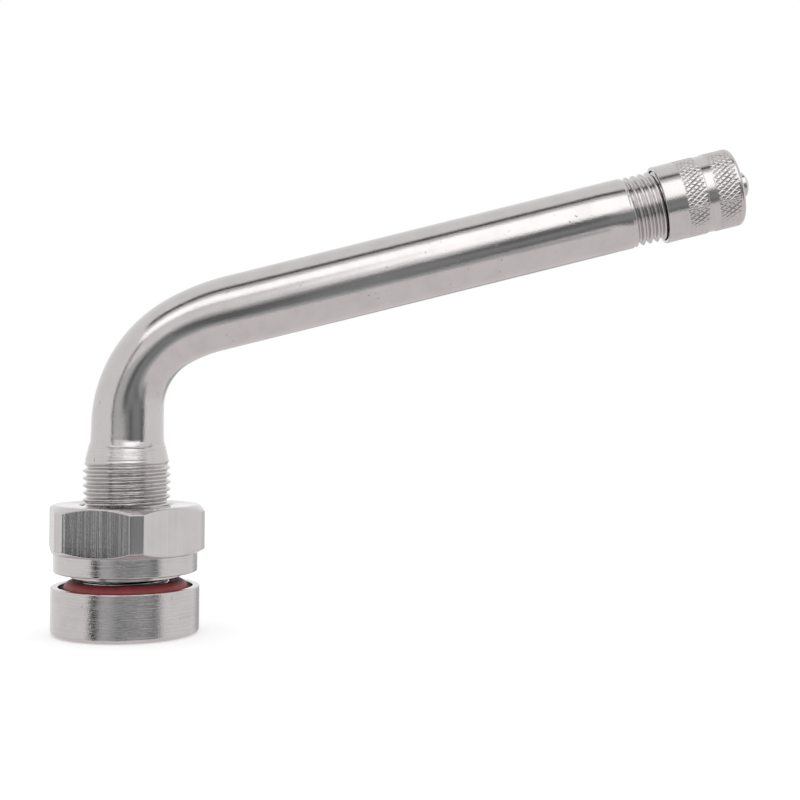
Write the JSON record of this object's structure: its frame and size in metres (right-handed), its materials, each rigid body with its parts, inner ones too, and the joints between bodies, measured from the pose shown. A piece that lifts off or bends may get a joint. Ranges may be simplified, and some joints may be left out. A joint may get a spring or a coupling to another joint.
{
  "type": "tyre valve",
  "caption": "Bent metal tubeless tyre valve with base cup, rubber sealing ring, collared hex nut, screw cap and spring-loaded core.",
  "frame": {"origin": "centre of the base cup's rim plane, which seats on the inside of the wheel rim", "axes": "+Z runs out along the threaded spud, through the wheel rim; the bent arm leans over towards +X"},
  "size_m": [0.0769, 0.0172, 0.0536],
  "materials": {
    "nickel_plate": "bright nickel plate on brass",
    "red_rubber": "satin",
    "black_rubber": "satin",
    "brass": "turned",
    "seal_plastic": "smooth",
    "spring_steel": "drawn wire"
  },
  "bodies": {
    "stem": {"valve_stem": "nickel_plate", "rim_o_ring": "red_rubber", "core_plug": "brass", "core_barrel": "brass", "barrel_seal": "seal_plastic", "core_spring": "spring_steel"},
    "nut": {"hex_nut": "nickel_plate"},
    "cap_insert": {"cap_swivel": "nickel_plate", "cap_seal": "black_rubber"},
    "cap": {"cap_shell": "nickel_plate"},
    "pin": {"core_pin": "brass", "pin_collar": "brass", "poppet_cup": "brass", "poppet_seal": "black_rubber"}
  },
  "joints": [
    {"name": "nut_travel", "type": "slide", "parent": "stem", "child": "nut", "axis": [0, 0, 1], "range_m": [-0.0003, 0.0112]},
    {"name": "cap_travel", "type": "slide", "parent": "stem", "child": "cap_insert", "axis": [0.9681, 0, 0.2504], "range_m": [0, 0.00635]},
    {"name": "cap_turn", "type": "hinge", "parent": "cap_insert", "child": "cap", "pos_m": [0.06419, 0, 0.0441], "axis": [0.9681, 0, 0.2504], "range_deg": [0, 2880]},
    {"name": "pin_press", "type": "slide", "parent": "stem", "child": "pin", "axis": [-0.9681, 0, -0.2504], "range_m": [0, 0.0012], "stiffness_N_per_m": 700, "springref_m": -0.002, "deforming": ["core_spring"]}
  ],
  "couplings": [
    {"joint": "cap_turn", "follows": "cap_travel", "rad_per_m": 7913.3}
  ]
}
